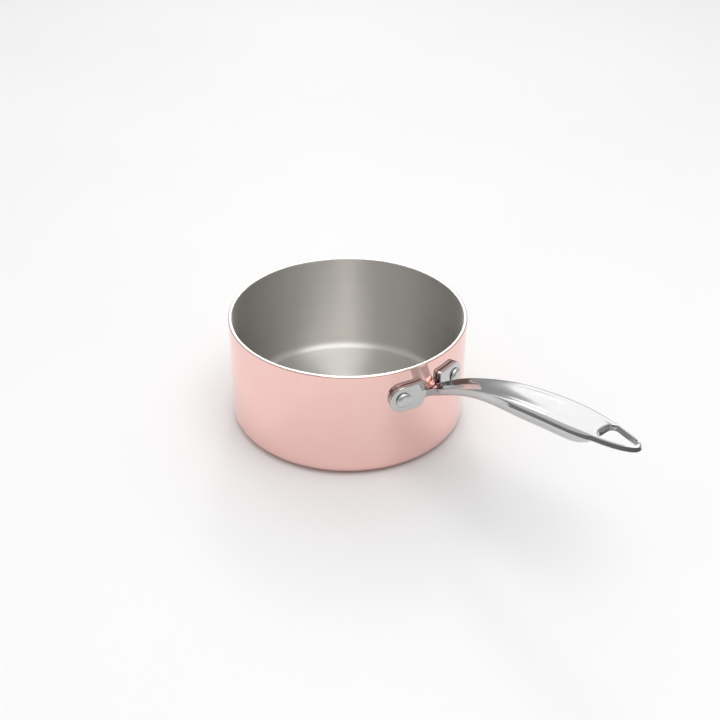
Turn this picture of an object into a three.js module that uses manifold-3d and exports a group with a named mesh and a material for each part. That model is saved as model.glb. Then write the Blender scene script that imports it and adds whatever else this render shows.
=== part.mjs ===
// Saucepan: a three-layer clad cup and a one-piece cast handle held by two solid rivets.
// Millimetres, +Z up. The cup stands on z = 0 with its axis on Z, and the handle points along +X.

import * as THREE from 'three';
import { mergeVertices } from 'three/addons/utils/BufferGeometryUtils.js';
import Module from 'manifold-3d';

// Cup: thicknesses of the clad sheet from the inside out, and the glue-thin gap between layers
const innerDiameter = 160;
const cupHeight = 78.7;
const innerCornerRadius = 5.5;
const liningThickness = 0.5;
const coreThickness = 1.5;
const copperThickness = 0.5;
const bondGap = 0.02;

// Rivets: centres are placed across the handle's line and down from the rim
const rivetSpacing = 46;
const rivetDrop = 20;
const shankDiameter = 5;
const shankClearance = 0.3;
const headClearance = 0.3;
const outerHeadDiameter = 10.4;
const outerHeadHeight = 2.2;
const outerHeadFlat = 5.6;
const innerHeadDiameter = 11;
const innerHeadHeight = 1.6;
const innerHeadEdge = 0.6;

// Ears: curved plates that lie on the cup's wall, one on each side of the neck
const seatGap = 0.3;
const earThickness = 3.3;
const earHeight = 18.5;
const earGapTop = 13.4;
const earGapBottom = 13.6;
const earTopRound = 2;
const earBottomRound = 5;

// Handle line: the height of the top edges, from the wall to the tip
const handleReach = 162.1;
const handleLift = 43.3;
const neckRise = 35.4;
const loopRise = 1.6;

// Handle plan: full widths across the top face, and where they change
const rootWidth = 13.4;
const rootLength = 20;
const neckWidth = 19.6;
const neckLength = 32;
const gripWidth = 25;
const gripTaperLength = 58;
const loopWidth = 20.2;
const loopTaper = 9.8;
const taperBlend = 2.4;
const noseRadius = 2.2;
const noseBlend = 1.2;
const neckFillet = 2.5;

// Handle section: a dish between two ridges in the grip's top face, a crown over the loop's,
// the side edge below the top face, and the belly below that
const dishDepth = 0.6;
const ridgeShare = 0.85;
const loopCrown = 0.6;
const edgeHeight = 4;
const gripFlare = 1.7;
const loopFlare = 1.1;
const neckBelly = 2.8;
const gripBelly = 10.3;
const bellyGrowth = 63;
const bellyRound = 16.5;
const loopLength = 25.8;
const loopThickness = 3.5;

// Hanging hole: a rounded triangle with its wide side towards the cup, narrower towards the underside
const loopRail = 1.85;
const loopTipWall = 2.3;
const holeLength = 23;
const holeCornerRadius = 5;
const holeApexRadius = 4.55;
const holeDraft = 20.4;

// Facets, the distance at which corners are welded, and how far cutters reach past what they cut
const cupSegments = 64;
const cornerSegments = 5;
const rivetSegments = 24;
const domeSegments = 5;
const arcSegments = 6;
const gripSegments = 16;
const bellySegments = 4;
const noseFlat = 0.05;
const weldDistance = 1e-4;
const cutterMargin = 20;

// Places that follow from the sizes above
const wallThickness = liningThickness + coreThickness + copperThickness + 2 * bondGap;
const innerRadius = innerDiameter / 2;
const outerRadius = innerRadius + wallThickness;
const seatRadius = outerRadius + seatGap;
const earRadius = seatRadius + earThickness;
const rivetHeight = cupHeight - rivetDrop;
const rivetAngle = Math.asin(rivetSpacing / 2 / earRadius);
const holeRadius = shankDiameter / 2 + shankClearance;
const bellyEnd = handleReach - loopLength;
const bellyStart = neckLength;
const bellyRoundStart = bellyEnd - bellyRound;
const gripWidest = handleReach - gripTaperLength;
const noseStart = handleReach - 2 * noseRadius;
const holeEnd = handleReach - loopTipWall;
const holeStart = holeEnd - holeLength;
const seatHeight = 4 * earHeight;

const { clamp, degToRad, lerp, smoothstep } = THREE.MathUtils;
const wasm = await Module();
wasm.setup();

// Closed solids: geometry in, manifold out, and back again

function solidOf(geometry) {
  const bare = geometry.clone();
  bare.deleteAttribute('normal');
  bare.deleteAttribute('uv');
  const merged = mergeVertices(bare, weldDistance);
  const corners = merged.index.array;
  const triangles = [];
  for (let i = 0; i < corners.length; i += 3) {
    const [a, b, c] = corners.slice(i, i + 3);
    if (a !== b && b !== c && c !== a) triangles.push(a, b, c);
  }
  return new wasm.Manifold(new wasm.Mesh({
    numProp: 3,
    vertProperties: new Float32Array(merged.attributes.position.array),
    triVerts: new Uint32Array(triangles),
  }));
}

function geometryOf(solid) {
  const { vertProperties, triVerts } = solid.getMesh();
  const geometry = new THREE.BufferGeometry();
  geometry.setAttribute('position', new THREE.BufferAttribute(vertProperties, 3));
  geometry.setIndex(new THREE.BufferAttribute(triVerts, 1));
  geometry.computeVertexNormals();
  return geometry;
}

function cylinder(radius, height, segments) {
  return new THREE.CylinderGeometry(radius, radius, height, segments).rotateX(Math.PI / 2);
}

function part(name, geometry, material) {
  const mesh = new THREE.Mesh(geometry, material);
  mesh.name = name;
  return mesh;
}

// Rivet holes, cut through the wall and the ears along each rivet's own axis

function rivetHole(side) {
  const hole = cylinder(holeRadius, 2 * cutterMargin, rivetSegments);
  hole.rotateY(Math.PI / 2);
  hole.translate(outerRadius, 0, rivetHeight);
  hole.rotateZ(side * rivetAngle);
  return solidOf(hole);
}

const rivetHoles = rivetHole(1).add(rivetHole(-1));

// Cup layer between two distances outward from the inside surface

function cupLayer(near, far) {
  const cornerX = innerRadius - innerCornerRadius;
  const cornerY = wallThickness + innerCornerRadius;
  const corner = (distance, step) => {
    const angle = (step / cornerSegments - 1) * Math.PI / 2;
    const radius = innerCornerRadius + distance;
    return new THREE.Vector2(cornerX + radius * Math.cos(angle), cornerY + radius * Math.sin(angle));
  };
  const outline = [new THREE.Vector2(0, wallThickness - far)];
  for (let step = 0; step <= cornerSegments; step++) outline.push(corner(far, step));
  outline.push(new THREE.Vector2(innerRadius + far, cupHeight));
  outline.push(new THREE.Vector2(innerRadius + near, cupHeight));
  for (let step = cornerSegments; step >= 0; step--) outline.push(corner(near, step));
  outline.push(new THREE.Vector2(0, wallThickness - near));
  const turned = new THREE.LatheGeometry(outline, cupSegments).rotateX(Math.PI / 2);
  return geometryOf(solidOf(turned).subtract(rivetHoles));
}

const coreStart = liningThickness + bondGap;
const copperStart = coreStart + coreThickness + bondGap;

// Rivet about +X: inner head, shank and domed outer head, with its outer end away from the cup

function rivetGeometry() {
  const shankRadius = shankDiameter / 2;
  const innerRadiusOfHead = innerHeadDiameter / 2;
  const outerRadiusOfHead = outerHeadDiameter / 2;
  const facetInset = 1 - Math.cos(Math.PI / cupSegments);
  const innerSag = innerRadius - Math.sqrt(innerRadius ** 2 - innerRadiusOfHead ** 2);
  const innerSeat = innerRadius * (1 - facetInset) - innerSag - headClearance;
  const outerSeat = earRadius + headClearance;
  const innerEnd = innerSeat - innerHeadHeight;
  const outline = [
    new THREE.Vector2(0, innerEnd),
    new THREE.Vector2(innerRadiusOfHead - innerHeadEdge, innerEnd),
    new THREE.Vector2(innerRadiusOfHead, innerEnd + innerHeadEdge),
    new THREE.Vector2(innerRadiusOfHead, innerSeat),
    new THREE.Vector2(shankRadius, innerSeat),
    new THREE.Vector2(shankRadius, outerSeat),
  ];
  const flatRadius = outerHeadFlat / 2;
  for (let step = 0; step <= domeSegments; step++) {
    const angle = step / domeSegments * Math.PI / 2;
    const radius = flatRadius + (outerRadiusOfHead - flatRadius) * Math.cos(angle);
    outline.push(new THREE.Vector2(radius, outerSeat + outerHeadHeight * Math.sin(angle)));
  }
  outline.push(new THREE.Vector2(0, outerSeat + outerHeadHeight));
  return new THREE.LatheGeometry(outline, rivetSegments).rotateZ(-Math.PI / 2);
}

function rivet(name, side, material) {
  const mesh = part(name, geometryOf(solidOf(rivetGeometry())), material);
  mesh.rotation.z = side * rivetAngle;
  mesh.position.z = rivetHeight;
  return mesh;
}

// Handle, measured by its distance from the cup's outer wall

function topHeight(distance) {
  const t = distance / handleReach;
  const rise = Math.tan(degToRad(neckRise)) * handleReach * t * (1 - t) ** 2;
  const lift = handleLift * t * t * (3 - 2 * t);
  const upturn = Math.max(distance - bellyEnd, 0) / loopLength;
  return rivetHeight + rise + lift + loopRise * upturn ** 2;
}

function softMin(a, b, range) {
  const share = clamp(0.5 + (b - a) / (2 * range), 0, 1);
  return lerp(b, a, share) - range * share * (1 - share);
}

function topHalfWidth(distance) {
  const neck = lerp(rootWidth, neckWidth, smoothstep(distance, 0, rootLength));
  const widening = lerp(neck, gripWidth, smoothstep(distance, neckLength, gripWidest)) / 2;
  const taper = loopWidth / 2 - (distance - bellyEnd) * Math.tan(degToRad(loopTaper));
  const nose = Math.sqrt(2 * noseRadius * (handleReach - distance));
  return softMin(softMin(widening, taper, taperBlend), nose, noseBlend) + rootFlare(distance);
}

// Concave fillet between the neck's sides and the ears' faces
function rootFlare(distance) {
  const earFace = Math.sqrt(earRadius ** 2 - (rootWidth / 2 + neckFillet) ** 2) - outerRadius;
  const clear = clamp(neckFillet - (distance - earFace), 0, neckFillet);
  return neckFillet - Math.sqrt(neckFillet ** 2 - clear ** 2);
}

function section(distance) {
  const half = topHalfWidth(distance);
  const grip = smoothstep(distance, bellyStart, bellyStart + bellyGrowth);
  const past = clamp((distance - bellyRoundStart) / bellyRound, 0, 1);
  const end = Math.sqrt(1 - past ** 2);
  const edge = lerp(loopThickness, edgeHeight, end);
  const belly = lerp(neckBelly, gripBelly, grip) * end;
  const wide = half + grip * lerp(loopFlare, gripFlare, end);
  const top = (share) => {
    const dish = dishDepth * end * (1 - (share / ridgeShare) ** 2) ** 2;
    const crown = loopCrown * (1 - end) * (1 - share ** 2) * (2 * half / loopWidth) ** 2;
    return new THREE.Vector2(half * share, crown - dish);
  };
  const sides = [top(ridgeShare / 2), top(ridgeShare), top(1)];
  for (let step = 0; step < bellySegments; step++) {
    const angle = step / bellySegments * Math.PI / 2;
    sides.push(new THREE.Vector2(wide * Math.cos(angle), -edge - belly * Math.sin(angle)));
  }
  const mirrored = sides.map(({ x, y }) => new THREE.Vector2(-x, y)).reverse();
  const bottom = new THREE.Vector2(0, -edge - belly);
  const ring = [top(0), ...sides, bottom, ...mirrored];
  return ring.map(({ x, y }) => new THREE.Vector3(outerRadius + distance, x, topHeight(distance) + y));
}

function stations() {
  const list = [];
  const run = (from, to, steps) => {
    for (let step = 0; step < steps; step++) list.push(lerp(from, to, step / steps));
  };
  const rootEnd = earThickness + seatGap + neckFillet;
  run(-earThickness, 0, 1);
  run(0, rootEnd, arcSegments);
  run(rootEnd, rootLength, arcSegments);
  run(rootLength, bellyRoundStart, gripSegments);
  for (let step = 0; step < arcSegments; step++) {
    list.push(bellyRoundStart + bellyRound * Math.sin(step / arcSegments * Math.PI / 2));
  }
  run(bellyEnd, noseStart, arcSegments);
  for (let step = arcSegments; step > 0; step--) {
    list.push(handleReach - (handleReach - noseStart) * (step / arcSegments) ** 2);
  }
  list.push(handleReach - noseFlat);
  return list;
}

function loft(rings) {
  const count = rings[0].length;
  const corners = [];
  for (let i = 0; i + 1 < rings.length; i++) {
    for (let j = 0; j < count; j++) {
      const a = i * count + j;
      const b = i * count + (j + 1) % count;
      corners.push(a, a + count, b, b, a + count, b + count);
    }
  }
  const last = (rings.length - 1) * count;
  for (let j = 1; j + 1 < count; j++) {
    corners.push(0, j, j + 1);
    corners.push(last, last + j + 1, last + j);
  }
  const geometry = new THREE.BufferGeometry().setFromPoints(rings.flat());
  geometry.setIndex(corners);
  return geometry;
}

// Outline wrapped round a counter-clockwise list of circles, with straight tangents between them
function wrapped(circles) {
  const tangent = (a, b) => {
    const heading = Math.atan2(b.y - a.y, b.x - a.x);
    return heading - Math.acos((a.r - b.r) / Math.hypot(b.x - a.x, b.y - a.y));
  };
  const outline = new THREE.Shape();
  circles.forEach((circle, i) => {
    const start = tangent(circles.at(i - 1), circle);
    const end = tangent(circle, circles[(i + 1) % circles.length]);
    outline.absarc(circle.x, circle.y, circle.r, start, end, false);
  });
  outline.closePath();
  return outline;
}

function extruded(outline) {
  const depth = 2 * cutterMargin;
  return new THREE.ExtrudeGeometry(outline, { depth, bevelEnabled: false, curveSegments: arcSegments });
}

// Ear across the rivet's axis: a full round at the outer end, smaller rounds at the inner end
function ear(side) {
  const half = earHeight / 2;
  const topInner = earGapTop / 2 - rivetSpacing / 2;
  const bottomInner = earGapBottom / 2 - rivetSpacing / 2;
  const left = [
    { x: 0, y: 0, r: half },
    { x: topInner + earTopRound, y: half - earTopRound, r: earTopRound },
    { x: bottomInner + earBottomRound, y: earBottomRound - half, r: earBottomRound },
  ];
  const right = left.map(({ x, y, r }) => ({ x: -x, y, r })).reverse();
  const plate = extruded(wrapped(side > 0 ? left : right));
  const outward = new THREE.Matrix4().makeBasis(
    new THREE.Vector3(0, 1, 0),
    new THREE.Vector3(0, 0, 1),
    new THREE.Vector3(1, 0, 0),
  );
  plate.applyMatrix4(outward);
  plate.translate(outerRadius - cutterMargin, 0, rivetHeight);
  plate.rotateZ(side * rivetAngle);
  return solidOf(plate);
}

// Rounded triangle through the loop, true to size at the top face's edges
function hangingHole() {
  const cornerX = holeStart + holeCornerRadius;
  const cornerY = topHalfWidth(holeStart) - loopRail - holeCornerRadius;
  const ring = (depth) => {
    const inset = depth * Math.tan(degToRad(holeDraft));
    const outline = wrapped([
      { x: holeEnd - holeApexRadius, y: 0, r: holeApexRadius - inset },
      { x: cornerX, y: cornerY, r: holeCornerRadius - inset },
      { x: cornerX, y: -cornerY, r: holeCornerRadius - inset },
    ]);
    const points = outline.getPoints(arcSegments);
    return points.map(({ x, y }) => new THREE.Vector3(outerRadius + x, y, topHeight(x) - depth));
  };
  return solidOf(loft([ring(-2 * loopCrown), ring(2 * loopThickness)]));
}

function handleGeometry() {
  const limit = solidOf(cylinder(earRadius, seatHeight, cupSegments).translate(0, 0, rivetHeight));
  const seat = solidOf(cylinder(seatRadius, seatHeight, cupSegments).translate(0, 0, rivetHeight));
  const ears = ear(1).add(ear(-1)).intersect(limit);
  const strap = solidOf(loft(stations().map(section)));
  const body = strap.add(ears);
  return geometryOf(body.subtract(seat).subtract(hangingHole()).subtract(rivetHoles));
}

// Finishes

const copper = new THREE.MeshStandardMaterial({ color: '#e9b7a8', metalness: 1, roughness: 0.12 });
const aluminium = new THREE.MeshStandardMaterial({ color: '#d5d6d8', metalness: 1, roughness: 0.35 });
const brushedSteel = new THREE.MeshStandardMaterial({ color: '#c9c7c4', metalness: 1, roughness: 0.38 });
const polishedSteel = new THREE.MeshStandardMaterial({ color: '#d8d8d8', metalness: 1, roughness: 0.12 });
const rivetSteel = new THREE.MeshStandardMaterial({ color: '#d2d2d4', metalness: 1, roughness: 0.22 });

const saucepan = new THREE.Group();
saucepan.add(
  part('copper_skin', cupLayer(copperStart, wallThickness), copper),
  part('aluminium_core', cupLayer(coreStart, coreStart + coreThickness), aluminium),
  part('steel_lining', cupLayer(0, liningThickness), brushedSteel),
  part('handle', handleGeometry(), polishedSteel),
  rivet('rivet_left', 1, rivetSteel),
  rivet('rivet_right', -1, rivetSteel),
);

export default saucepan;
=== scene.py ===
"""Saucepan on a white table: clad copper cup, brushed lining, polished steel handle and two rivets."""

import math

import bpy
import numpy as np
from mathutils import Matrix, Vector


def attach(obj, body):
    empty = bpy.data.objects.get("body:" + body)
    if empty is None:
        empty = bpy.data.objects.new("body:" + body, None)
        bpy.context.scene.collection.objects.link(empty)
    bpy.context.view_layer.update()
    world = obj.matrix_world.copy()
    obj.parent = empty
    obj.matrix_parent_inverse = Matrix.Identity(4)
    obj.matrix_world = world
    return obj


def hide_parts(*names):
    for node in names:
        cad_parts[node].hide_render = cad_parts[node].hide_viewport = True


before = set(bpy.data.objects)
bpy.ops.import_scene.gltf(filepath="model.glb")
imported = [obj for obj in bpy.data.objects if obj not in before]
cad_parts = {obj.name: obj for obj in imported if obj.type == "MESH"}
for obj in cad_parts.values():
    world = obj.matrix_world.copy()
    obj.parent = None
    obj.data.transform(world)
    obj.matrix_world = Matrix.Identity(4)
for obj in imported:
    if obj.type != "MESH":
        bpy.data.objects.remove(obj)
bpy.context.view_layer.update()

# Metres in a millimetre, the unit of the sizes of the pan and the table
MM = 0.001

# Cup; these sizes, and those down to the hanging hole's, are the same as in the solids
INNER_RADIUS = 80.0
CUP_HEIGHT = 78.7
INNER_CORNER = 5.5
LINING = 0.5
CORE = 1.5
COPPER = 0.5
BOND_GAP = 0.02
WALL = LINING + CORE + COPPER + 2 * BOND_GAP
OUTER_RADIUS = INNER_RADIUS + WALL

# Rivets
RIVET_SPACING = 46.0
RIVET_DROP = 20.0
RIVET_HEIGHT = CUP_HEIGHT - RIVET_DROP
SHANK_RADIUS = 2.5
BORE_RADIUS = 2.8
HEAD_CLEARANCE = 0.3
OUTER_HEAD_RADIUS = 5.2
OUTER_HEAD_HEIGHT = 2.2
OUTER_HEAD_FLAT = 2.8
INNER_HEAD_RADIUS = 5.5
INNER_HEAD_HEIGHT = 1.6
INNER_HEAD_EDGE = 0.6

# Ears
SEAT_GAP = 0.3
EAR_THICKNESS = 3.3
SEAT_RADIUS = OUTER_RADIUS + SEAT_GAP
EAR_RADIUS = SEAT_RADIUS + EAR_THICKNESS
EAR_HEIGHT = 18.5
EAR_GAP_TOP = 13.4
EAR_GAP_BOTTOM = 13.6
EAR_TOP_ROUND = 2.0
EAR_BOTTOM_ROUND = 5.0
RIVET_ANGLE = math.asin(RIVET_SPACING / 2 / EAR_RADIUS)

# Handle, with distances along it counted from the cup's wall
REACH = 162.1
LIFT = 43.3
NECK_RISE = math.tan(math.radians(35.4))
LOOP_RISE = 1.6
ROOT_WIDTH = 13.4
ROOT_LENGTH = 20.0
NECK_WIDTH = 19.6
NECK_LENGTH = 32.0
GRIP_WIDTH = 25.0
GRIP_TAPER = 58.0
GRIP_WIDEST = REACH - GRIP_TAPER
LOOP_WIDTH = 20.2
LOOP_TAPER = math.tan(math.radians(9.8))
TAPER_BLEND = 2.4
NOSE_RADIUS = 2.2
NOSE_BLEND = 1.2
NECK_FILLET = 2.5
DISH = 0.6
RIDGE = 0.85
LOOP_CROWN = 0.6
EDGE_HEIGHT = 4.0
GRIP_FLARE = 1.7
LOOP_FLARE = 1.1
NECK_BELLY = 2.8
GRIP_BELLY = 10.3
BELLY_GROWTH = 63.0
BELLY_ROUND = 16.5
LOOP_LENGTH = 25.8
LOOP_THICKNESS = 3.5
LOOP_RAIL = 1.85
BELLY_END = REACH - LOOP_LENGTH
BELLY_ROUND_START = BELLY_END - BELLY_ROUND

# Hanging hole
HOLE_MARGIN = 2.3
HOLE_LENGTH = 23.0
HOLE_END = REACH - HOLE_MARGIN
HOLE_START = HOLE_END - HOLE_LENGTH
HOLE_CORNER = 5.0
HOLE_APEX = 4.55
HOLE_DRAFT = math.tan(math.radians(20.4))

# Hollow of the neck's top face, deeper near the ears than in the solids
ROOT_HOLLOW = 1.9
HOLLOW_START = 22.0
HOLLOW_END = 48.0
NECK_RIDGE = 1.0

# Shoulder of the grip's top face: its growth along the handle, its drop, and shares of the half width
SHOULDER_BEGIN = 60.0
SHOULDER_FULL = 90.0
SHOULDER_DROP = 0.2
SHOULDER_START = 0.55
SHOULDER_END = 0.69

# Rounding of the rim and of the handle's edges
RIM_FLAT = 0.7
RIM_ROUND = 0.95
NECK_EDGE_ROUND = 0.3
GRIP_EDGE_ROUND = 1.8
LOOP_EDGE_ROUND = 0.6
BEVEL_ROUND = 0.6
EAR_EDGE_ROUND = 0.7
ROOT_ROUND = 0.9
HOLE_EDGE_ROUND = 0.3
HIDDEN_ROUND = 0.2
BELLY_EDGE_ROUND = 0.3
BELLY_END_ROUND = 2.2

# Shares and bounds in the handle's function
BELLY_END_FLATTENING = 0.75
LEAST_HALF_WIDTH = 1.0
MOST_SHARE = 1.3
FAR_OUTSIDE = 100.0
LEAST_STEEPNESS = 0.05
TINY = 1e-9

# Mesh fineness
CUP_SEGMENTS = 192
FLOOR_STEPS = 7
CORNER_STEPS = 14
WALL_ROWS = 14
RIM_STEPS = 9
BORE_SEGMENTS = 32
CUTTER_OVERRUN = 20.0
RIVET_SEGMENTS = 64
HEAD_EDGE_STEPS = 5
DOME_STEPS = 14
HANDLE_VOXEL = 0.42
RELAX_ROUNDS = 4
SETTLE_STEPS = 2
LAST_SETTLE_STEPS = 8
SHARP_ANGLE = math.radians(40.0)

# Range of values that noise mostly spans
NOISE_RANGE = (0.3, 0.7)
WIDE_NOISE_RANGE = (0.25, 0.75)

# Table, with its top a hair under the base
TABLE_CENTRE = (-475.0, 400.0)
TABLE_RADIUS = 1000.0
TABLE_TOP = -0.05
TABLE_SEGMENTS = 96

# Studio light: grey by the height of a direction, and two bright regions
SKY_SHADES = [(0.0, 0.5), (0.1, 0.42), (0.2, 0.5), (0.27, 1.0), (1.0, 1.0)]
OVERHEAD = {"centre": (-0.33, 0.0885, 0.94), "reach": (-0.6, 0.65), "strength": (0.17, 0.75)}
BEHIND_LEFT = {"centre": (-0.641, 0.524, 0.56), "reach": (0.8, 0.95), "strength": (0.0, 0.75)}

# Camera, fitted to the rim, base and handle in the photograph, in metres and radians
IMAGE_WIDTH = 720
FOCAL_PIXELS = 1108.67
SENSOR_WIDTH = 36.0
NEAR_CLIP = 0.01
CAMERA_PLACE = (0.5084, -0.4276, 0.4628)
CAMERA_HEADING = math.radians(50.0) - 0.0141
CAMERA_TILT = 0.5675
CAMERA_ROLL = 0.0063


# Node materials

def new_material(name, base, roughness, metallic=1.0):
    material = bpy.data.materials.new(name)
    material.use_nodes = True
    shader = material.node_tree.nodes["Principled BSDF"]
    shader.inputs["Base Color"].default_value = (*base, 1.0)
    shader.inputs["Metallic"].default_value = metallic
    shader.inputs["Roughness"].default_value = roughness
    return material, shader


def add(material, kind, **settings):
    node = material.node_tree.nodes.new(kind)
    for key, value in settings.items():
        setattr(node, key, value)
    return node


def link(material, source, target):
    material.node_tree.links.new(source, target)


def noise(material, vector, scale=1.0, detail=3.0):
    node = add(material, "ShaderNodeTexNoise")
    node.inputs["Scale"].default_value = scale
    node.inputs["Detail"].default_value = detail
    link(material, vector, node.inputs["Vector"])
    return node.outputs["Fac"]


def ramp(material, factor, stops):
    node = add(material, "ShaderNodeValToRGB")
    elements = node.color_ramp.elements
    while len(elements) < len(stops):
        elements.new(0.5)
    for element, (place, colour) in zip(elements, stops):
        element.position = place
        element.color = (*colour, 1.0)
    link(material, factor, node.inputs["Fac"])
    return node.outputs["Color"]


def map_range(material, value, source, target):
    node = add(material, "ShaderNodeMapRange")
    node.inputs["From Min"].default_value = source[0]
    node.inputs["From Max"].default_value = source[1]
    node.inputs["To Min"].default_value = target[0]
    node.inputs["To Max"].default_value = target[1]
    link(material, value, node.inputs["Value"])
    return node.outputs["Result"]


def grey(level):
    return (level, level, level)


def tint(material, shader, factor, low, high, span=NOISE_RANGE):
    """Runs the base colour between two colours by a noise."""
    colour = ramp(material, factor, [(span[0], low), (span[1], high)])
    link(material, colour, shader.inputs["Base Color"])


def roughen(material, shader, factor, low, high):
    """Runs the roughness between two values by a noise."""
    value = map_range(material, factor, NOISE_RANGE, (low, high))
    link(material, value, shader.inputs["Roughness"])


def relief(material, shader, height, distance, strength=1.0):
    """Bumps the surface by a noise, with its depth in metres."""
    node = add(material, "ShaderNodeBump")
    node.inputs["Distance"].default_value = distance
    node.inputs["Strength"].default_value = strength
    link(material, height, node.inputs["Height"])
    link(material, node.outputs["Normal"], shader.inputs["Normal"])


def object_place(material):
    return add(material, "ShaderNodeTexCoord").outputs["Object"]


def turned_place(material, around, across):
    """Coordinates that vary slowly round the Z axis and fast across it, as turning marks do."""
    split = add(material, "ShaderNodeSeparateXYZ")
    link(material, object_place(material), split.inputs[0])
    flat = add(material, "ShaderNodeCombineXYZ")
    link(material, split.outputs["X"], flat.inputs["X"])
    link(material, split.outputs["Y"], flat.inputs["Y"])
    radius = add(material, "ShaderNodeVectorMath", operation="LENGTH")
    link(material, flat.outputs[0], radius.inputs[0])
    height = add(material, "ShaderNodeMath", operation="ADD")
    link(material, radius.outputs["Value"], height.inputs[0])
    link(material, split.outputs["Z"], height.inputs[1])
    joined = add(material, "ShaderNodeCombineXYZ")
    link(material, split.outputs["X"], joined.inputs["X"])
    link(material, split.outputs["Y"], joined.inputs["Y"])
    link(material, height.outputs[0], joined.inputs["Z"])
    scaled = add(material, "ShaderNodeVectorMath", operation="MULTIPLY")
    scaled.inputs[1].default_value = (around, around, across)
    link(material, joined.outputs[0], scaled.inputs[0])
    return scaled.outputs[0]


def copper_material():
    material, shader = new_material("copper_polished", base=(0.92, 0.61, 0.565), roughness=0.06)
    cloud = noise(material, object_place(material), scale=38.0)
    tint(material, shader, cloud, low=(0.91, 0.595, 0.55), high=(0.93, 0.625, 0.58))
    wiped = noise(material, turned_place(material, around=30.0, across=900.0))
    roughen(material, shader, wiped, low=0.04, high=0.09)
    relief(material, shader, wiped, distance=0.000004)
    return material


def lining_material():
    material, shader = new_material("lining_brushed", base=(0.72, 0.7, 0.67), roughness=0.39)
    shader.inputs["Anisotropic"].default_value = 0.97
    shader.inputs["Anisotropic Rotation"].default_value = 0.25
    tangent = add(material, "ShaderNodeTangent", direction_type="RADIAL", axis="Z")
    link(material, tangent.outputs[0], shader.inputs["Tangent"])
    coarse = noise(material, turned_place(material, around=7.0, across=1800.0), detail=4.0)
    fine = noise(material, turned_place(material, around=14.0, across=5200.0), detail=2.0)
    tint(material, shader, coarse, low=(0.69, 0.67, 0.64), high=(0.75, 0.73, 0.7), span=WIDE_NOISE_RANGE)
    roughen(material, shader, coarse, low=0.36, high=0.42)
    relief(material, shader, fine, distance=0.000008, strength=0.5)
    return material


def core_material():
    material, shader = new_material("core_cut_edge", base=(0.66, 0.65, 0.63), roughness=0.3)
    turned = noise(material, turned_place(material, around=20.0, across=6000.0), detail=2.0)
    tint(material, shader, turned, low=(0.6, 0.59, 0.57), high=(0.72, 0.71, 0.69))
    roughen(material, shader, turned, low=0.22, high=0.36)
    return material


def polished_material():
    material, shader = new_material("handle_polished", base=grey(0.6), roughness=0.08)
    place = object_place(material)
    cloud = noise(material, place, scale=60.0)
    tint(material, shader, cloud, low=grey(0.58), high=grey(0.62))
    smear = noise(material, place, scale=240.0, detail=5.0)
    roughen(material, shader, smear, low=0.05, high=0.11)
    waves = noise(material, place, scale=110.0, detail=1.0)
    relief(material, shader, waves, distance=0.00006, strength=0.6)
    return material


def rivet_material():
    material, shader = new_material("rivet_satin", base=grey(0.66), roughness=0.37)
    grain = noise(material, object_place(material), scale=900.0, detail=4.0)
    tint(material, shader, grain, low=grey(0.61), high=grey(0.71))
    roughen(material, shader, grain, low=0.32, high=0.42)
    relief(material, shader, grain, distance=0.000015)
    return material


def table_material():
    material, shader = new_material("table_white", base=grey(0.9), roughness=0.6, metallic=0.0)
    cloud = noise(material, object_place(material), scale=3.0, detail=4.0)
    tint(material, shader, cloud, low=grey(0.89), high=grey(0.91))
    shader.inputs["Specular IOR Level"].default_value = 0.2
    return material


# Meshes

def new_object(name, points, faces, material):
    mesh = bpy.data.meshes.new(name)
    mesh.from_pydata([tuple(p) for p in np.asarray(points) * MM], [], faces)
    mesh.materials.append(material)
    piece = bpy.data.objects.new(name, mesh)
    bpy.context.scene.collection.objects.link(piece)
    return piece


def finish_piece(piece, node):
    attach(piece, "root")
    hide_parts(node)


def shade(piece):
    piece.data.shade_smooth()
    piece.data.set_sharp_from_angle(angle=SHARP_ANGLE)


def evaluated_mesh(piece):
    """Mesh of a piece with its modifiers applied."""
    return bpy.data.meshes.new_from_object(piece.evaluated_get(bpy.context.evaluated_depsgraph_get()))


def lathe(profile, segments):
    """Closed skin turned round Z from a profile that starts and ends on the axis."""
    turns = np.arange(segments) * 2 * np.pi / segments
    body = np.array(profile[1:-1])
    rows = len(body)
    points = [(0.0, 0.0, profile[0][1]), (0.0, 0.0, profile[-1][1])]
    for turn in turns:
        points += [(r * math.cos(turn), r * math.sin(turn), z) for r, z in body]
    faces = []
    for i in range(segments):
        here = 2 + i * rows
        there = 2 + (i + 1) % segments * rows
        faces.append((0, there, here))
        faces.append((1, here + rows - 1, there + rows - 1))
        for j in range(rows - 1):
            faces.append((here + j, there + j, there + j + 1, here + j + 1))
    return np.array(points), faces


def arc(centre_x, centre_y, radius, start, end, steps):
    """Points along an arc, with its angles in degrees."""
    angles = np.radians(np.linspace(start, end, steps + 1))
    return [(centre_x + radius * math.cos(a), centre_y + radius * math.sin(a)) for a in angles]


def rim_height(out):
    """Height of the rounded rim at a distance outward from the inside surface."""
    past = max(abs(out - WALL / 2) - RIM_FLAT / 2, 0.0)
    return CUP_HEIGHT - RIM_ROUND + math.sqrt(RIM_ROUND ** 2 - past ** 2)


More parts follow.
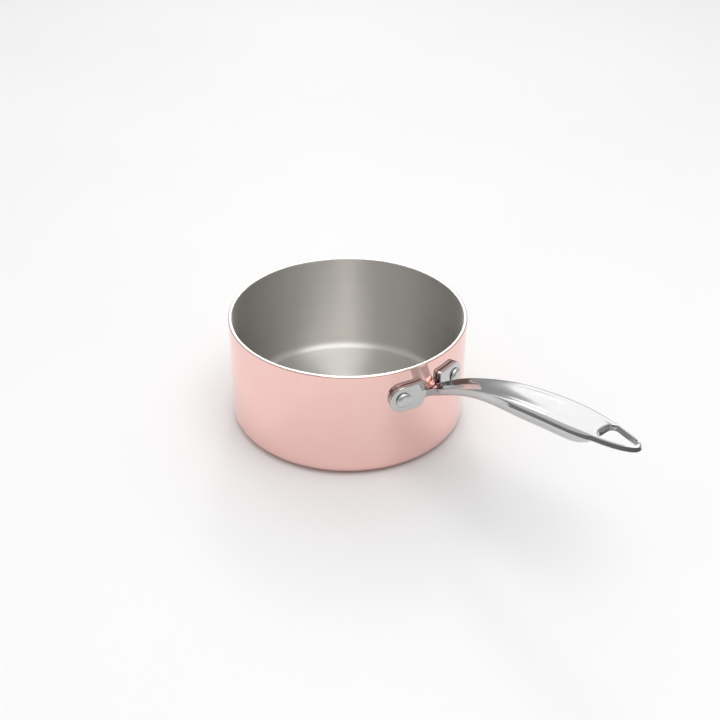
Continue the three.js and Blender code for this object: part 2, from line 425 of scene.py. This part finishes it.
def layer_profile(near, far):
    """Profile of one sheet of the cup, between two distances outward from the inside surface."""
    corner_r = INNER_RADIUS - INNER_CORNER
    corner_z = WALL + INNER_CORNER
    rows = np.linspace(corner_z, CUP_HEIGHT - RIM_ROUND, WALL_ROWS + 1)[1:]
    floor_rows = np.linspace(0, corner_r, FLOOR_STEPS + 1)[1:-1]
    outline = [(0.0, WALL - far)]
    outline += [(r, WALL - far) for r in floor_rows]
    outline += arc(corner_r, corner_z, INNER_CORNER + far, -90, 0, CORNER_STEPS)
    outline += [(INNER_RADIUS + far, z) for z in rows]
    outline += [(INNER_RADIUS + out, rim_height(out)) for out in np.linspace(far, near, RIM_STEPS)]
    outline += [(INNER_RADIUS + near, z) for z in rows[::-1]]
    outline += arc(corner_r, corner_z, INNER_CORNER + near, 0, -90, CORNER_STEPS)
    outline += [(r, WALL - near) for r in floor_rows[::-1]]
    outline.append((0.0, WALL - near))
    return outline


def along_rivet(points, side):
    """Turns points about Z onto the rivet's own axis, at the rivets' height."""
    turn = Matrix.Rotation(side * RIVET_ANGLE, 3, "Z")
    return np.asarray(points) @ np.array(turn).T + np.array([0.0, 0.0, RIVET_HEIGHT])


def lying(points):
    """Turns a skin made round Z so that it lies along X."""
    return np.column_stack([points[:, 2], points[:, 0], points[:, 1]])


def cut_rivet_holes(piece):
    """Cuts both rivet holes through a layer of the cup."""
    inner_end = INNER_RADIUS - CUTTER_OVERRUN
    outer_end = OUTER_RADIUS + CUTTER_OVERRUN
    profile = [(0.0, inner_end), (BORE_RADIUS, inner_end), (BORE_RADIUS, outer_end), (0.0, outer_end)]
    points, faces = lathe(profile, BORE_SEGMENTS)
    material = piece.data.materials[0]
    cutters = [new_object("cutter", along_rivet(lying(points), side), faces, material) for side in (1, -1)]
    for cutter in cutters:
        hole = piece.modifiers.new("hole", "BOOLEAN")
        hole.operation = "DIFFERENCE"
        hole.solver = "EXACT"
        hole.object = cutter
    cut = evaluated_mesh(piece)
    piece.modifiers.clear()
    piece.data = cut
    for cutter in cutters:
        bpy.data.objects.remove(cutter)


def cup_layer(name, near, far, material):
    points, faces = lathe(layer_profile(near, far), CUP_SEGMENTS)
    piece = new_object(name + "_turned", points, faces, material)
    cut_rivet_holes(piece)
    shade(piece)
    finish_piece(piece, name)


def rivet_profile():
    """Rivet from its inner end to the top of its dome, as radius and distance from the cup's axis."""
    sag = INNER_RADIUS - math.sqrt(INNER_RADIUS ** 2 - INNER_HEAD_RADIUS ** 2)
    inner_seat = INNER_RADIUS - sag - HEAD_CLEARANCE
    inner_end = inner_seat - INNER_HEAD_HEIGHT
    outer_seat = EAR_RADIUS + HEAD_CLEARANCE
    edge_radius = INNER_HEAD_RADIUS - INNER_HEAD_EDGE
    edge_place = inner_end + INNER_HEAD_EDGE
    outline = [(0.0, inner_end)]
    outline += arc(edge_radius, edge_place, INNER_HEAD_EDGE, -90, 0, HEAD_EDGE_STEPS)
    outline += [(INNER_HEAD_RADIUS, inner_seat), (SHANK_RADIUS, inner_seat), (SHANK_RADIUS, outer_seat)]
    for angle in np.linspace(0, math.pi / 2, DOME_STEPS + 1):
        radius = OUTER_HEAD_FLAT + (OUTER_HEAD_RADIUS - OUTER_HEAD_FLAT) * math.cos(angle)
        outline.append((radius, outer_seat + OUTER_HEAD_HEIGHT * math.sin(angle)))
    outline.append((0.0, outer_seat + OUTER_HEAD_HEIGHT))
    return outline


def rivet(name, side, material):
    points, faces = lathe(rivet_profile(), RIVET_SEGMENTS)
    piece = new_object(name + "_turned", along_rivet(lying(points), side), faces, material)
    shade(piece)
    finish_piece(piece, name)


# Handle: one smooth skin, found as the zero level of a function that is negative inside the metal

def smooth_min(a, b, blend):
    near = np.maximum(blend - np.abs(a - b), 0.0) / blend
    return np.minimum(a, b) - near * near * blend / 4


def smooth_max(a, b, blend):
    return -smooth_min(-a, -b, blend)


def smoothstep(value, low, high):
    t = np.clip((value - low) / (high - low), 0.0, 1.0)
    return t * t * (3 - 2 * t)


def mix(a, b, share):
    return a + (b - a) * share


def top_height(s):
    """Height of the top face's edges: a cubic curve, with an upturn along the loop."""
    t = s / REACH
    rise = NECK_RISE * REACH * t * (1 - t) ** 2
    lift = LIFT * t * t * (3 - 2 * t)
    upturn = np.maximum(s - BELLY_END, 0.0) / LOOP_LENGTH
    return RIVET_HEIGHT + rise + lift + LOOP_RISE * upturn ** 2


def root_flare(s):
    """Extra half width of the neck where it fillets into the ears."""
    ear_face = math.sqrt(EAR_RADIUS ** 2 - (ROOT_WIDTH / 2 + NECK_FILLET) ** 2) - OUTER_RADIUS
    clear = np.clip(NECK_FILLET - (s - ear_face), 0.0, NECK_FILLET)
    return NECK_FILLET - np.sqrt(NECK_FILLET ** 2 - clear ** 2)


def widening(s):
    """Half width of the top face from the root to the widest place of the grip."""
    neck = mix(ROOT_WIDTH, NECK_WIDTH, smoothstep(s, 0.0, ROOT_LENGTH))
    return mix(neck, GRIP_WIDTH, smoothstep(s, NECK_LENGTH, GRIP_WIDEST)) / 2


def taper(s):
    """Half width of the top face along the loop."""
    return LOOP_WIDTH / 2 - (s - BELLY_END) * LOOP_TAPER


def top_half_width(s):
    nose = np.sqrt(2 * NOSE_RADIUS * np.maximum(REACH - s, 0.0))
    return smooth_min(smooth_min(widening(s), taper(s), TAPER_BLEND), nose, NOSE_BLEND)


def plan_distance(s, y):
    """Distance outward, in plan, from the outline of the top face."""
    side = np.abs(y)
    straight = smooth_max(side - widening(s), side - taper(s), TAPER_BLEND)
    nose = (y * y - 2 * NOSE_RADIUS * (REACH - s)) / (2 * np.sqrt(y * y + NOSE_RADIUS ** 2))
    return smooth_max(straight, nose, NOSE_BLEND) - root_flare(s)


def wrapped(circles, steps=10):
    """Points of the outline wrapped round a counter-clockwise list of circles (x, y, radius)."""
    def tangent(a, b):
        heading = math.atan2(b[1] - a[1], b[0] - a[0])
        return heading - math.acos((a[2] - b[2]) / math.hypot(b[0] - a[0], b[1] - a[1]))
    points = []
    for i, (x, y, radius) in enumerate(circles):
        start = tangent(circles[i - 1], circles[i])
        end = tangent(circles[i], circles[(i + 1) % len(circles)])
        end += 2 * math.pi * math.ceil((start - end) / (2 * math.pi))
        for angle in np.linspace(start, end, steps):
            points.append((x + radius * math.cos(angle), y + radius * math.sin(angle)))
    return np.array(points)


def outline_distance(px, py, outline):
    """Signed distance to a closed convex outline that runs counter-clockwise, negative inside."""
    nearest = np.full(px.shape, np.inf)
    inside = np.ones(px.shape, bool)
    for a, b in zip(outline, np.roll(outline, -1, axis=0)):
        along = b - a
        length = along @ along
        if length < TINY:
            continue
        share = np.clip(((px - a[0]) * along[0] + (py - a[1]) * along[1]) / length, 0.0, 1.0)
        gap_x = px - a[0] - share * along[0]
        gap_y = py - a[1] - share * along[1]
        nearest = np.minimum(nearest, np.hypot(gap_x, gap_y))
        inside &= along[0] * (py - a[1]) - along[1] * (px - a[0]) >= 0
    return np.where(inside, -nearest, nearest)


def ear_outline():
    half = EAR_HEIGHT / 2
    top = EAR_GAP_TOP / 2 - RIVET_SPACING / 2
    bottom = EAR_GAP_BOTTOM / 2 - RIVET_SPACING / 2
    return wrapped([(0.0, 0.0, half),
                    (top + EAR_TOP_ROUND, half - EAR_TOP_ROUND, EAR_TOP_ROUND),
                    (bottom + EAR_BOTTOM_ROUND, EAR_BOTTOM_ROUND - half, EAR_BOTTOM_ROUND)])


def hole_outline():
    corner_s = HOLE_START + HOLE_CORNER
    corner_y = float(top_half_width(np.array(HOLE_START))) - LOOP_RAIL - HOLE_CORNER
    return wrapped([(HOLE_END - HOLE_APEX, 0.0, HOLE_APEX),
                    (corner_s, corner_y, HOLE_CORNER),
                    (corner_s, -corner_y, HOLE_CORNER)])


EAR_OUTLINE = ear_outline()
HOLE_OUTLINE = hole_outline()


def strap(s, y, u):
    """Neck, grip and loop: s from the wall outward, y across, u up from the top edges."""
    grip = smoothstep(s, NECK_LENGTH, NECK_LENGTH + BELLY_GROWTH)
    past = np.maximum((s - BELLY_ROUND_START) / BELLY_ROUND, 0.0)
    capped = np.minimum(past, 1.0)
    end = np.sqrt(1 - capped ** 2)
    edge = mix(LOOP_THICKNESS, EDGE_HEIGHT, end)
    flare = grip * mix(LOOP_FLARE, GRIP_FLARE, end)
    depth = mix(NECK_BELLY, GRIP_BELLY, grip)
    half = np.maximum(top_half_width(s) + root_flare(s), LEAST_HALF_WIDTH)
    share = np.minimum((y / half) ** 2, MOST_SHARE)
    formed = smoothstep(s, SHOULDER_BEGIN, SHOULDER_FULL)
    hollow = mix(ROOT_HOLLOW, DISH, smoothstep(s, HOLLOW_START, HOLLOW_END))
    dish = hollow * end * (1 - share / mix(NECK_RIDGE, RIDGE, formed) ** 2) ** 2
    crown = LOOP_CROWN * (1 - end) * np.maximum(half ** 2 - y ** 2, 0.0) / (LOOP_WIDTH / 2) ** 2
    shoulder = SHOULDER_DROP * formed * smoothstep(np.sqrt(share), SHOULDER_START, SHOULDER_END)
    top = u + dish - crown + shoulder
    top_round = mix(LOOP_EDGE_ROUND, mix(NECK_EDGE_ROUND, GRIP_EDGE_ROUND, formed), end)
    bevel = (plan_distance(s, y) + flare * u / edge) / np.sqrt(1 + (flare / edge) ** 2)
    across = (y / (half + flare)) ** 2 * (1 - BELLY_END_FLATTENING * capped ** 2)
    belly = (np.sqrt(((u + edge) / depth) ** 2 + past ** 2 + across) - 1) * depth
    under = smooth_min(-(u + edge), belly, BELLY_EDGE_ROUND + BELLY_END_ROUND * capped ** 2)
    return smooth_max(smooth_max(top, bevel, top_round), under, BEVEL_ROUND)


def handle_level(points):
    """The handle's function: strap and ears joined, less the hanging hole, the cup's seat and the bores."""
    x, y, z = points[:, 0], points[:, 1], points[:, 2]
    s = x - OUTER_RADIUS
    u = z - top_height(s)
    radius = np.hypot(x, y)
    level = strap(s, y, u)
    bores = np.full(x.shape, np.inf)
    for side in (1, -1):
        turn = side * RIVET_ANGLE
        across = y * math.cos(turn) - x * math.sin(turn)
        plate = outline_distance(side * across, z - RIVET_HEIGHT, EAR_OUTLINE)
        plate = np.where(x * math.cos(turn) + y * math.sin(turn) > 0, plate, FAR_OUTSIDE)
        level = smooth_min(level, smooth_max(plate, radius - EAR_RADIUS, EAR_EDGE_ROUND), ROOT_ROUND)
        bores = np.minimum(bores, np.hypot(across, z - RIVET_HEIGHT) - BORE_RADIUS)
    hole = outline_distance(s, y, HOLE_OUTLINE) - HOLE_DRAFT * u
    level = smooth_max(level, -hole, HOLE_EDGE_ROUND)
    level = smooth_max(level, SEAT_RADIUS - radius, HIDDEN_ROUND)
    return smooth_max(level, -bores, HIDDEN_ROUND)


def handle_slope(points, step=0.02):
    slope = np.empty_like(points)
    for axis in range(3):
        shift = np.zeros(3)
        shift[axis] = step
        slope[:, axis] = (handle_level(points + shift) - handle_level(points - shift)) / (2 * step)
    return slope


def settle(points, rounds, limit=0.3):
    """Moves points onto the zero level along its slope."""
    for _ in range(rounds):
        slope = handle_slope(points)
        steep = np.maximum((slope ** 2).sum(axis=1), LEAST_STEEPNESS)
        move = slope * (handle_level(points) / steep)[:, None]
        length = np.linalg.norm(move, axis=1)
        points = points - move * np.minimum(1.0, limit / np.maximum(length, TINY))[:, None]
    return points


def relax(points, edges):
    """Moves each point half way to the mean of its neighbours."""
    total = np.zeros_like(points)
    count = np.zeros(len(points))
    for a, b in ((0, 1), (1, 0)):
        np.add.at(total, edges[:, a], points[edges[:, b]])
        np.add.at(count, edges[:, a], 1)
    return (points + total / count[:, None]) / 2


def handle(material):
    """Handle's solid with even small faces, settled on the smooth skin."""
    piece = bpy.data.objects.new("handle_polished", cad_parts["handle"].data.copy())
    bpy.context.scene.collection.objects.link(piece)
    even = piece.modifiers.new("even", "REMESH")
    even.mode = "VOXEL"
    even.voxel_size = HANDLE_VOXEL * MM
    mesh = evaluated_mesh(piece)
    piece.modifiers.clear()
    piece.data = mesh
    points = np.empty(len(mesh.vertices) * 3)
    mesh.vertices.foreach_get("co", points)
    points = points.reshape(-1, 3) / MM
    edges = np.empty(len(mesh.edges) * 2, int)
    mesh.edges.foreach_get("vertices", edges)
    edges = edges.reshape(-1, 2)
    for _ in range(RELAX_ROUNDS):
        points = relax(settle(points, SETTLE_STEPS), edges)
    points = settle(points, LAST_SETTLE_STEPS)
    mesh.vertices.foreach_set("co", (points * MM).ravel())
    mesh.materials.clear()
    mesh.materials.append(material)
    mesh.shade_smooth()
    slope = handle_slope(points)
    slope /= np.linalg.norm(slope, axis=1)[:, None]
    mesh.normals_split_custom_set_from_vertices(slope.tolist())
    mesh.update()
    finish_piece(piece, "handle")


# Table, light and camera

def lay_table():
    outline = arc(*TABLE_CENTRE, TABLE_RADIUS, 0, 360, TABLE_SEGMENTS)[:-1]
    points = [(x, y, TABLE_TOP) for x, y in outline]
    table = new_object("table", points, [tuple(range(len(points)))], table_material())


def studio():
    """White studio, brightest overhead and behind on the left, with dim walls near the horizon."""
    world = bpy.data.worlds.new("studio")
    bpy.context.scene.world = world
    world.use_nodes = True
    background = world.node_tree.nodes["Background"]
    direction = add(world, "ShaderNodeTexCoord").outputs["Generated"]
    split = add(world, "ShaderNodeSeparateXYZ")
    link(world, direction, split.inputs[0])
    sky = ramp(world, split.outputs["Z"], [(place, grey(level)) for place, level in SKY_SHADES])
    link(world, sky, background.inputs["Color"])
    total = add(world, "ShaderNodeMath", operation="ADD")
    for glow, target in zip((OVERHEAD, BEHIND_LEFT), total.inputs):
        towards = add(world, "ShaderNodeVectorMath", operation="DOT_PRODUCT")
        towards.inputs[1].default_value = glow["centre"]
        link(world, direction, towards.inputs[0])
        link(world, map_range(world, towards.outputs["Value"], glow["reach"], glow["strength"]), target)
    link(world, total.outputs[0], background.inputs["Strength"])


def softbox(name, place, target, size, power):
    lamp = bpy.data.lights.new(name, "AREA")
    lamp.shape = "DISK"
    lamp.size = size
    lamp.energy = power
    holder = bpy.data.objects.new(name, lamp)
    holder.location = place
    holder.rotation_euler = (Vector(target) - Vector(place)).to_track_quat("-Z", "Y").to_euler()
    bpy.context.scene.collection.objects.link(holder)


def camera():
    """Camera at the photograph's view."""
    ahead = Vector((-math.sin(CAMERA_HEADING), math.cos(CAMERA_HEADING), 0.0))
    right = Vector((math.cos(CAMERA_HEADING), math.sin(CAMERA_HEADING), 0.0))
    up = Vector((0.0, 0.0, 1.0))
    forward = ahead * math.cos(CAMERA_TILT) - up * math.sin(CAMERA_TILT)
    level_up = up * math.cos(CAMERA_TILT) + ahead * math.sin(CAMERA_TILT)
    side = right * math.cos(CAMERA_ROLL) + level_up * math.sin(CAMERA_ROLL)
    top = level_up * math.cos(CAMERA_ROLL) - right * math.sin(CAMERA_ROLL)
    lens = bpy.data.cameras.new("camera")
    lens.sensor_width = SENSOR_WIDTH
    lens.lens = FOCAL_PIXELS / IMAGE_WIDTH * SENSOR_WIDTH
    lens.clip_start = NEAR_CLIP
    holder = bpy.data.objects.new("camera", lens)
    turn = Matrix((side, top, -forward)).transposed().to_4x4()
    holder.matrix_world = Matrix.Translation(CAMERA_PLACE) @ turn
    bpy.context.scene.collection.objects.link(holder)
    bpy.context.scene.camera = holder


# The part

core_start = LINING + BOND_GAP
cup_layer("copper_skin", WALL - COPPER, WALL, copper_material())
cup_layer("aluminium_core", core_start, core_start + CORE, core_material())
cup_layer("steel_lining", 0.0, LINING, lining_material())
handle(polished_material())
rivet_steel = rivet_material()
rivet("rivet_left", 1, rivet_steel)
rivet("rivet_right", -1, rivet_steel)

# The scene round it

lay_table()
studio()
softbox("key", place=(-1.03, 0.84, 0.97), target=(0.0, 0.0, 0.05), size=0.25, power=2.0)
softbox("ceiling", place=(0.38, -0.06, 1.5), target=(0.06, -0.06, 0.0), size=1.2, power=7.6)
camera()
bpy.context.scene.view_settings.view_transform = "Standard"
